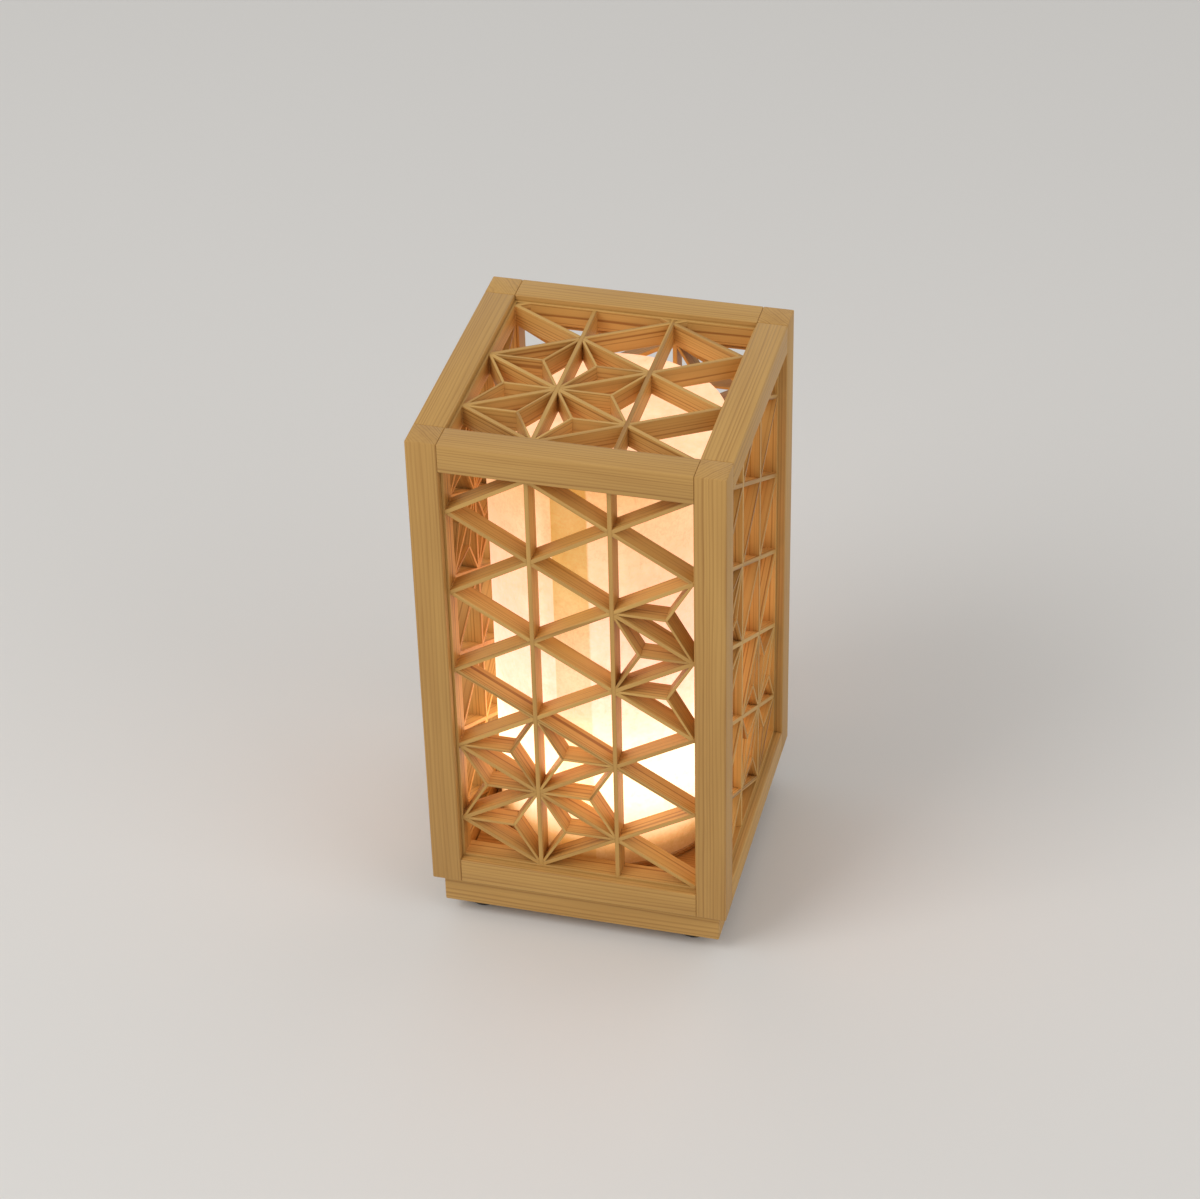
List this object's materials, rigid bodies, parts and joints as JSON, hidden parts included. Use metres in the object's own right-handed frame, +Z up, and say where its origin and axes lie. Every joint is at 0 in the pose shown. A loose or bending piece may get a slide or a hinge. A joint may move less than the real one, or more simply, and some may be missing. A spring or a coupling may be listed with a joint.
{
  "type": "kumiko table lamp",
  "caption": "Square wooden table lamp: a lift-off kumiko lattice hood with asanoha leaves over a rolled paper shade and a small screw bulb on a low footed base.",
  "frame": {"origin": "under the middle of the lamp, on the level that its feet stand on", "axes": "+Z up along the lamp's axis, -Y out of the front panel, +X to the right seen from the front"},
  "size_m": [0.15, 0.15, 0.2873],
  "materials": {
    "hinoki": "planed, unfinished",
    "kumiko_strip": "planed, unfinished",
    "washi": "matt fibrous paper",
    "dark_rubber": "matt",
    "white_plastic": "satin",
    "nickel": "plated",
    "brass": "plain",
    "opal": "opal"
  },
  "bodies": {
    "base": {"base_board": "hinoki", "locating_panel": "hinoki", "foot_front_left": "dark_rubber", "foot_front_right": "dark_rubber", "foot_back_right": "dark_rubber", "foot_back_left": "dark_rubber", "cord_gland": "dark_rubber", "shade_ring": "hinoki", "shade_hoop": "hinoki", "paper_tube": "washi", "paper_top": "washi", "lampholder_body": "white_plastic", "screw_shell": "nickel", "centre_contact": "brass", "holder_screw_left": "nickel", "holder_screw_right": "nickel"},
    "hood": {"post_front_left": "hinoki", "post_front_right": "hinoki", "post_back_right": "hinoki", "post_back_left": "hinoki", "top_rail_front": "hinoki", "top_rail_right": "hinoki", "top_rail_back": "hinoki", "top_rail_left": "hinoki", "bottom_rail_front": "hinoki", "bottom_rail_right": "hinoki", "bottom_rail_back": "hinoki", "bottom_rail_left": "hinoki", "lattice_front": "kumiko_strip", "lattice_right": "kumiko_strip", "lattice_back": "kumiko_strip", "lattice_left": "kumiko_strip", "lattice_top": "kumiko_strip", "border_front_left": "kumiko_strip", "border_front_right": "kumiko_strip", "border_front_bottom": "kumiko_strip", "border_front_top": "kumiko_strip", "border_right_left": "kumiko_strip", "border_right_right": "kumiko_strip", "border_right_bottom": "kumiko_strip", "border_right_top": "kumiko_strip", "border_back_left": "kumiko_strip", "border_back_right": "kumiko_strip", "border_back_bottom": "kumiko_strip", "border_back_top": "kumiko_strip", "border_left_left": "kumiko_strip", "border_left_right": "kumiko_strip", "border_left_bottom": "kumiko_strip", "border_left_top": "kumiko_strip", "border_top_left": "kumiko_strip", "border_top_right": "kumiko_strip", "border_top_bottom": "kumiko_strip", "border_top_top": "kumiko_strip"},
    "bulb_lead": {"bulb_tip": "brass"},
    "bulb": {"bulb_cap": "nickel", "bulb_housing": "opal", "bulb_globe": "opal"}
  },
  "joints": [
    {"name": "hood_lift", "type": "slide", "parent": "base", "child": "hood", "axis": [0, 0, 1], "range_m": [0, 0.24]},
    {"name": "bulb_rise", "type": "slide", "parent": "base", "child": "bulb_lead", "axis": [0, 0, 1], "range_m": [0, 0.0085]},
    {"name": "bulb_turn", "type": "hinge", "parent": "bulb_lead", "child": "bulb", "pos_m": [0, 0, 0.05], "axis": [0, 0, 1], "range_deg": [0, 1080]}
  ],
  "couplings": [
    {"joint": "bulb_rise", "follows": "bulb_turn", "m_per_rad": 0.00044914}
  ]
}
